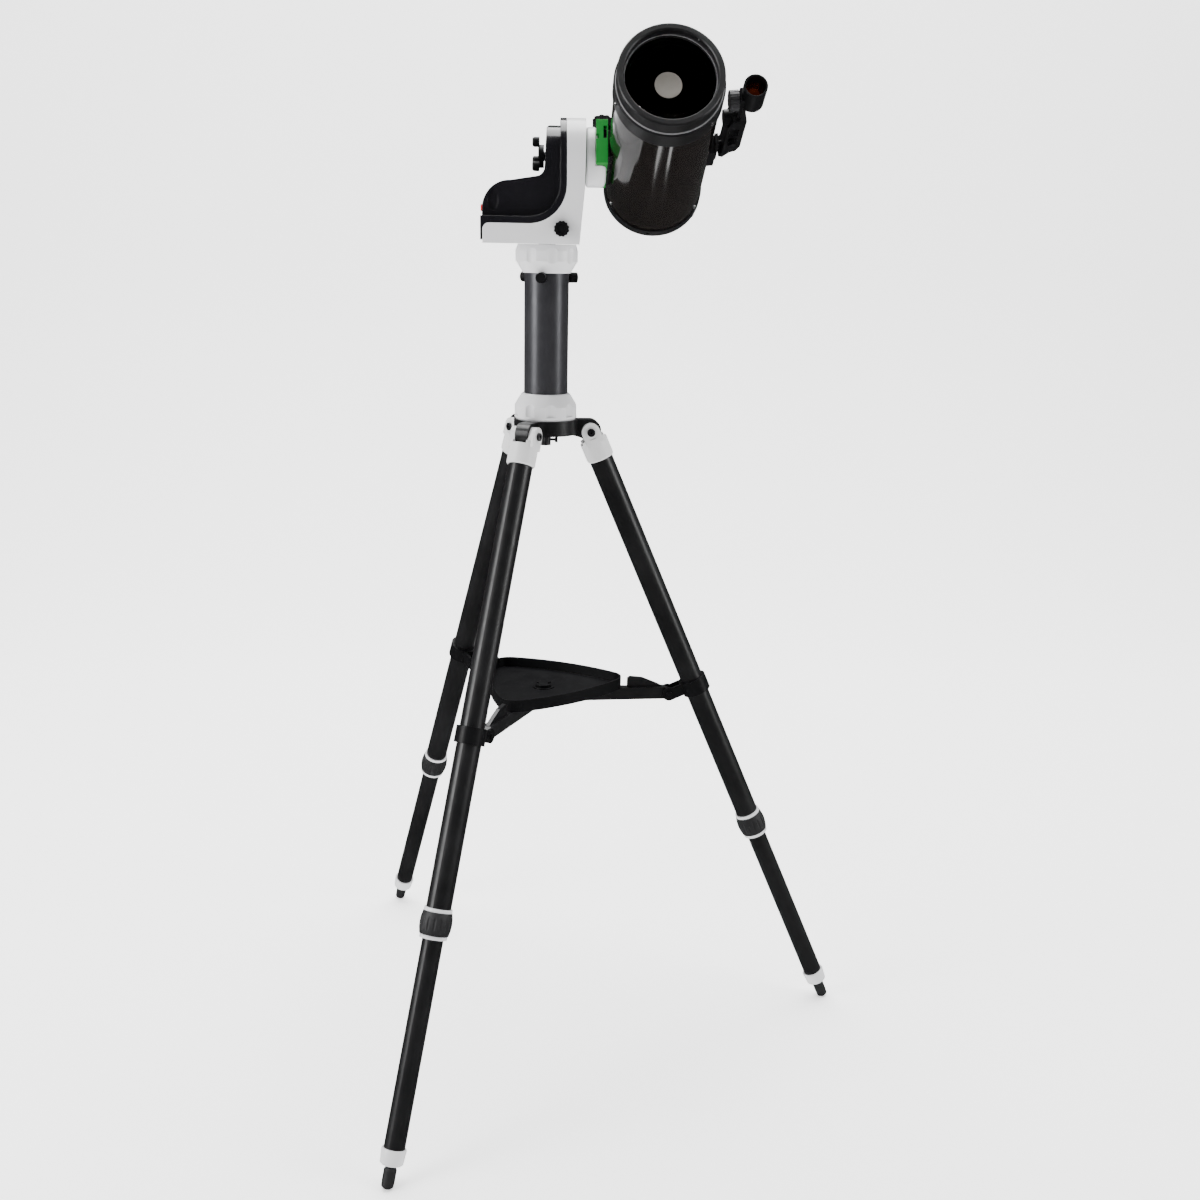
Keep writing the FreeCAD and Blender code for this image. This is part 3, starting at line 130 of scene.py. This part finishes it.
def glass(name, colour):
    """Coated optical glass: clear, with a faint coloured sheen and a little dust."""
    material = surface(name, colour, 0.04, tone=0.03, smear=0.015, grain=4.0,
                       depth=0.0005, edge=0.3)
    shader = material.node_tree.nodes["Principled BSDF"]
    shader.inputs["Transmission Weight"].default_value = 1.0
    shader.inputs["IOR"].default_value = 1.02
    shader.inputs["Specular IOR Level"].default_value = 0.05
    shader.inputs["Coat Weight"].default_value = 0.004
    shader.inputs["Coat Tint"].default_value = (*colour, 1)
    return material


MATERIALS = {
    "mount_white": surface("moulded_white", (0.66, 0.66, 0.67), 0.32, coat=0.2, tone=0.015,
                           smear=0.05, grain=1.6, depth=0.006, edge=1.2),
    "cover_black": surface("cover_black", (0.0065, 0.0062, 0.008), 0.22, coat=0.25, tone=0.2,
                           patch=9.0, smear=0.05, grain=1.4, depth=0.006, edge=1.6, gloss=0.4),
    "flange_white": surface("enamel_white", (0.64, 0.64, 0.65), 0.36, coat=0.15, tone=0.02,
                            grain=0.9, depth=0.012, edge=1.0),
    "clevis_white": surface("clevis_white", (0.64, 0.64, 0.64), 0.40, coat=0.1, tone=0.025,
                            grain=0.9, depth=0.014, edge=0.9),
    "tube_gloss": surface("tube_gloss", (0.0050, 0.0040, 0.0036), 0.10, tone=0.2,
                          patch=6.0, smear=0.03, grain=2.5, depth=0.002, edge=0.4, coat=0.2,
                          gloss=0.4),
    "cell_black": surface("cell_black", (0.0060, 0.0060, 0.0065), 0.40, tone=0.25,
                          grain=0.7, depth=0.03, edge=0.9, speck=0.1, gloss=0.35),
    "leg_black": surface("powder_black", (0.0060, 0.0060, 0.0066), 0.36, tone=0.2,
                         grain=0.6, depth=0.03, edge=0.6, speck=0.1, gloss=0.4),
    "pillar_grey": surface("pillar_grey", (0.040, 0.040, 0.045), 0.34, metallic=0.5, tone=0.1,
                           grain=0.7, depth=0.035, edge=0.5, speck=0.3),
    "saddle_green": surface("anodised_green", (0.012, 0.22, 0.03), 0.30, metallic=0.35,
                            tone=0.08, grain=0.5, depth=0.008, edge=0.5),
    "alloy_black": surface("anodised_black", (0.010, 0.010, 0.011), 0.30, metallic=0.3,
                           tone=0.15, grain=0.5, depth=0.01, edge=0.5),
    "rubber": surface("rubber", (0.014, 0.014, 0.015), 0.55, tone=0.2, patch=30.0,
                      grain=0.9, depth=0.03, edge=0.8, gloss=0.35),
    "plastic_black": surface("plastic_black", (0.0045, 0.0045, 0.005), 0.38, tone=0.15,
                             grain=0.6, depth=0.025, edge=0.7, gloss=0.14),
    "grey_dial": surface("grey_dial", (0.022, 0.022, 0.024), 0.42, tone=0.06, grain=0.6,
                         depth=0.02, edge=0.5),
    "red": surface("red_button", (0.62, 0.02, 0.02), 0.26, coat=0.4, tone=0.06, grain=1.0,
                   depth=0.004, edge=0.6),
    "steel": surface("bolt_steel", (0.50, 0.50, 0.50), 0.30, metallic=1.0, tone=0.08,
                     grain=0.4, depth=0.006, edge=0.4),
    "brass": surface("worm_brass", (0.62, 0.46, 0.18), 0.32, metallic=1.0, tone=0.08,
                     grain=0.4, depth=0.006, edge=0.3),
    "mirror": surface("mirror_coating", (0.90, 0.90, 0.90), 0.03, metallic=1.0, tone=0.01,
                      smear=0.01, grain=5.0, depth=0.0002, edge=0.3),
    "glass": glass("lens_glass", (0.30, 0.38, 0.36)),
    "spot": surface("secondary_spot", (0.24, 0.225, 0.20), 0.45, tone=0.05, patch=40.0,
                    grain=0.8, depth=0.01, edge=0.3),
    "amber": surface("amber_coating", (0.75, 0.10, 0.02), 0.08, metallic=0.9, tone=0.5,
                     patch=110.0, smear=0.04, grain=3.0, depth=0.001, edge=0.2),
    "lining": surface("matte_lining", (0.003, 0.003, 0.003), 0.85, tone=0.2, smear=0.05,
                      grain=0.8, depth=0.03, edge=0.2, gloss=0.03),
    # painted highlight: a pale grey for the thin lines where light catches the black cell's chamfers
    "painted_highlight_edge": surface("painted_highlight_edge", (0.34, 0.34, 0.35), 0.30, metallic=0.3, tone=0.1,
                           grain=0.8, depth=0.004, edge=0.2),
}


def dress_frame():
    for entry in frame["record"]["subparts"]:
        materials = nodes[entry["node"]].data.materials
        materials.clear()
        materials.append(MATERIALS[entry["material_slot"]])


# ---------------------------------------------------------------- camera
CAMERA_AT = Vector((-0.1021, -1.9187, 1.2272))
PITCH_DOWN = 17.572
YAW_RIGHT = 2.444
ROLL = 1.185
LENS_MM = 39.51
SHIFT = (0.0023, 0.0519)


def add_camera():
    pitch, yaw, roll = (math.radians(angle) for angle in (PITCH_DOWN, YAW_RIGHT, ROLL))
    ahead = Vector((math.sin(yaw) * math.cos(pitch), math.cos(yaw) * math.cos(pitch),
                    -math.sin(pitch)))
    level = Vector((math.cos(yaw), -math.sin(yaw), 0))
    above = level.cross(ahead)
    right = level * math.cos(roll) + above * math.sin(roll)
    up = above * math.cos(roll) - level * math.sin(roll)
    data = bpy.data.cameras.new("camera")
    data.lens = LENS_MM
    data.sensor_width = 36.0
    data.shift_x, data.shift_y = SHIFT
    camera = bpy.data.objects.new("camera", data)
    camera.matrix_world = Matrix((right, up, -ahead)).transposed().to_4x4()
    camera.location = CAMERA_AT
    bpy.context.collection.objects.link(camera)
    bpy.context.scene.camera = camera


# ---------------------------------------------------------------- making pieces
def link_mesh(name, mesh_builder):
    mesh = bpy.data.meshes.new(name)
    mesh_builder.to_mesh(mesh)
    mesh_builder.free()
    made = bpy.data.objects.new(name, mesh)
    bpy.context.collection.objects.link(made)
    return made


MERGE_DIST = 1e-7
MELT_DIST = 1e-8
SHARP_FROM = 35       # degrees between two faces


def lathe(name, outline, place, slot, body, steps=96):
    """Piece turned about the Z axis of a placing matrix, from closed (radius, height) mm."""
    build = bmesh.new()
    rings = []
    for step in range(steps):
        angle = 2 * math.pi * step / steps
        rings.append([build.verts.new((r * math.cos(angle) * MM, r * math.sin(angle) * MM,
                                       z * MM)) for r, z in outline])
    count = len(outline)
    for here, there in zip(rings, rings[1:] + rings[:1]):
        for i in range(count):
            k = (i + 1) % count
            build.faces.new((here[i], there[i], there[k], here[k])).smooth = True
    bmesh.ops.remove_doubles(build, verts=build.verts, dist=MERGE_DIST)
    bmesh.ops.dissolve_degenerate(build, dist=MELT_DIST, edges=build.edges)
    bmesh.ops.recalc_face_normals(build, faces=build.faces)
    piece = link_mesh(name, build)
    piece.data.set_sharp_from_angle(angle=math.radians(SHARP_FROM))
    piece.data.transform(place)
    piece.data.materials.append(MATERIALS[slot])
    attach(piece, body)


def facing(point, direction):
    """Matrix that puts Z along a direction, at a point."""
    place = Vector(direction).to_track_quat("Z", "Y").to_matrix().to_4x4()
    place.translation = point
    return place


def along_tube(along, side=0.0, up=0.0):
    place = TUBE_FRAME.copy()
    place.translation = on_tube(side, up, along)
    return place


# ---------------------------------------------------------------- small pieces
# radius, and distance down the leg from its hinge
FOOT_CAP = [(14.95, 999.85), (16.62, 999.85), (17.65, 1001.95), (16.15, 1020.1),
            (13.6, 1022.15), (5.6, 1022.15), (5.6, 1022.02), (13.5, 1022.02),
            (16.02, 1020.0), (17.52, 1002.0), (16.5, 999.98), (14.95, 999.98)]


def add_foot_caps():
    """Enamelled skin on the cap of each foot, above its rubber tip."""
    for leg in (1, 2, 3):
        hinge = Vector(JOINT_AT["leg_fold_%d" % leg]["pos_m"])
        down = Vector(JOINT_AT["leg_length_%d" % leg]["axis"])
        lathe("foot_cap_%d" % leg, FOOT_CAP, facing(hinge, down), "flange_white",
              "extension_%d" % leg, steps=64)


def round_the_tube(radius, degrees, along):
    angle = math.radians(degrees)
    outward = SIDE_DIR * math.cos(angle) + UP_DIR * math.sin(angle)
    return on_tube(radius * math.cos(angle), radius * math.sin(angle), along), outward


def add_screw(name, point, direction, radius):
    """Round-headed socket screw whose head stands on the point."""
    head = [(0, 0.35 * radius), (0.45 * radius, 0.35 * radius), (0.48 * radius, 0.85 * radius),
            (0.85 * radius, 0.7 * radius), (radius, 0.3 * radius), (radius, -0.3 * radius),
            (0, -0.3 * radius)]
    lathe(name, head, facing(point, direction), "steel", "telescope", steps=24)


# name, head radius, distance from the tube's axis, distance along the tube, degrees round
# the tube to the first screw and on to each next one, and 1 for facing out or -1 for in
CELL_SCREWS = [("front_screw", 1.9, 70.5, 174, -161, 120, 1),
               ("rear_screw", 2.2, 68.4, -66, -151, 120, 1)]
LIP_SCREWS = [("lip_screw", 1.2, 58.6, 204, -132, 186, -1)]


def add_tube_screws():
    for rows, count in ((CELL_SCREWS, 3), (LIP_SCREWS, 2)):
        for index in range(count):
            for name, head, radius, along, first, turn, side in rows:
                point, outward = round_the_tube(radius, first + turn * index, along)
                add_screw("%s_%d" % (name, index), point, outward * side, head)


LENS_TOP = 180.5
LENS_CURVE = 172.0
SPOT_R = 17.4
SPOT_SIDE = -1.5      # the coated patch sits a little off the centre


def add_secondary_spot():
    """Coated round patch in the middle of the lens's hollow front face."""
    def sag(r):
        return LENS_TOP + LENS_CURVE - math.sqrt(LENS_CURVE ** 2 - r ** 2)
    reach = [SPOT_R * part for part in (0, 0.25, 0.5, 0.75, 0.96, 1.0)]
    front = [(r, sag(r) + (0.45 if r < SPOT_R else 0.3)) for r in reach]
    back = [(r, sag(r) + 0.1) for r in reversed(reach)]
    lathe("secondary_spot", front + back, along_tube(0, SPOT_SIDE), "spot", "telescope")


# outlines of thin rings: radius, and height along their own axis
ARM_SEAL = [(14, 52.05), (33.6, 52.05), (34.0, 52.3), (34.0, 52.7), (14, 52.7)]
# the groove and retainer outlines carry painted highlights: pale lines where light catches the black
# chamfers
CELL_GROOVE_HIGHLIGHT = [(66.6, 186.1), (68.4, 186.1), (68.4, 186.3), (66.6, 186.6)]
RETAINER_EDGE_HIGHLIGHT = [(57.1, 196.05), (58.4, 196.05), (58.4, 196.3), (57.1, 196.5)]


def add_rings():
    lathe("arm_seal_ring", ARM_SEAL, facing(ALT_PIVOT, SIDE_DIR), "saddle_green", "head")
    # painted highlights: two pale rings on the black cell, where its chamfers catch the light
    lathe("cell_groove_painted_highlight", CELL_GROOVE_HIGHLIGHT, along_tube(0), "painted_highlight_edge", "telescope", steps=160)
    lathe("retaining_ring_painted_highlight", RETAINER_EDGE_HIGHLIGHT, along_tube(0), "painted_highlight_edge", "telescope",
          steps=160)


LINING_R = 66.3
LINING_WALL = 0.4
LINING_FROM = -58.0
LINING_TO = 159.0


def add_lining():
    """Matte sleeve inside the tube, between the mirror and the front cell."""
    inner = LINING_R - LINING_WALL
    lathe("tube_lining", [(LINING_R, LINING_FROM), (LINING_R, LINING_TO), (inner, LINING_TO),
                          (inner, LINING_FROM)], along_tube(0), "lining", "telescope")


FINDER_OUT = 111.0
FINDER_TURN = 5.5
WINDOW_AT = 154.0
WINDOW_RING_AT = 155.5
WINDOW = [(0, 2.2), (5, 1.9), (10, 0.9), (13.1, 0), (13.1, -1), (0, -1)]
WINDOW_RING = [(11.8, 0), (13.2, 0), (13.2, 3), (12.4, 3), (11.8, 2.2)]


def add_finder_glass():
    """Bulging amber window of the finder, and the ring that holds it."""
    side = FINDER_OUT * math.cos(math.radians(FINDER_TURN))
    up = FINDER_OUT * math.sin(math.radians(FINDER_TURN))
    lathe("finder_window", WINDOW, along_tube(WINDOW_AT, side, up), "amber",
          "finder_body_body", steps=48)
    lathe("finder_window_ring", WINDOW_RING, along_tube(WINDOW_RING_AT, side, up),
          "plastic_black", "finder_body_body", steps=48)


# ---------------------------------------------------------------- backdrop and light
PAPER_GLOW = 0.8
PAPER_HALF = 7.0      # half its width, and the rest of its measures, in metres
PAPER_NEAR = -6.0
PAPER_FAR = 3.0
PAPER_HIGH = 6.0
SWEEP_R = 1.2
SWEEP_STEPS = 16


def add_backdrop():
    """Pale floor that sweeps up into a wall behind the object."""
    build = bmesh.new()
    sweep_from = PAPER_FAR - SWEEP_R
    profile = [(PAPER_NEAR, 0.0), (sweep_from, 0.0)]
    for step in range(1, SWEEP_STEPS + 1):
        angle = math.radians(90 * step / SWEEP_STEPS)
        profile.append((sweep_from + SWEEP_R * math.sin(angle),
                        SWEEP_R - SWEEP_R * math.cos(angle)))
    profile.append((PAPER_FAR, PAPER_HIGH))
    rows = [[build.verts.new((x, y, z)) for x in (-PAPER_HALF, PAPER_HALF)]
            for y, z in profile]
    for low, high in zip(rows, rows[1:]):
        build.faces.new((low[0], low[1], high[1], high[0])).smooth = True
    floor = link_mesh("floor", build)
    paper = surface("backdrop_paper", (0.90, 0.90, 0.90), 0.85, tone=0.006,
                    patch=2.0, grain=6.0, depth=0.02, edge=0.1)
    glow = paper.node_tree.nodes["Principled BSDF"].inputs
    glow["Emission Color"].default_value = (1, 1, 1, 1)
    glow["Emission Strength"].default_value = PAPER_GLOW
    floor.data.materials.append(paper)
    floor.visible_glossy = False


def add_light(name, place, target, size, power, twist=0.0):
    """Rectangular lamp aimed at a point: size in metres, power in watts, twist in degrees."""
    data = bpy.data.lights.new(name, "AREA")
    data.shape = "RECTANGLE"
    data.size, data.size_y = size
    data.energy = power
    light = bpy.data.objects.new(name, data)
    light.location = place
    aim = (Vector(target) - Vector(place)).to_track_quat("-Z", "Y").to_matrix()
    light.rotation_euler = (aim @ Matrix.Rotation(math.radians(twist), 3, "Z")).to_euler()
    bpy.context.collection.objects.link(light)


WORLD_LIGHT = 0.05
WORLD_SEEN = 1.6      # the studio beyond the backdrop looks as pale as the backdrop


def add_world():
    world = bpy.data.worlds.new("studio")
    world.use_nodes = True
    tree = world.node_tree
    background = tree.nodes["Background"]
    background.inputs["Color"].default_value = (1, 1, 1, 1)
    seen = node(tree, "ShaderNodeMapRange", To_Min=WORLD_LIGHT, To_Max=WORLD_SEEN)
    tree.links.new(tree.nodes.new("ShaderNodeLightPath").outputs["Is Camera Ray"],
                   seen.inputs["Value"])
    tree.links.new(seen.outputs["Result"], background.inputs["Strength"])
    bpy.context.scene.world = world


# name, place, aim, size, power
MIDDLE = (0.0, 0.0, 0.9)
SOFT_LIGHTS = [("softbox_left", (-3.0, -1.4, 1.9), MIDDLE, (1.3, 2.6), 130),
               ("softbox_right", (3.2, -1.2, 1.9), MIDDLE, (1.0, 2.6), 75),
               ("ceiling", (0.0, 1.2, 5.2), (0.0, 0.6, 0.0), (6.0, 4.0), 800)]

# two small lamps low behind the tripod, that draw the streaks under the tube
STRIP_AT = (0.12, 0.507, 0.394)
STRIP_APART = 0.12
STRIP_SIZE = (0.06, 0.18)
STRIP_POWER = 0.13
STRIP_TWIST = -35.0


def add_lights():
    for light in SOFT_LIGHTS:
        add_light(*light)
    x, y, z = STRIP_AT
    for offset in (-STRIP_APART, STRIP_APART):
        add_light("strip_under", (x + offset, y, z), TUBE_MID, STRIP_SIZE, STRIP_POWER,
                  twist=STRIP_TWIST)


dress_frame()
add_tube_screws()
add_foot_caps()
add_secondary_spot()
add_rings()
add_lining()
add_finder_glass()
add_camera()
add_backdrop()
add_world()
add_lights()
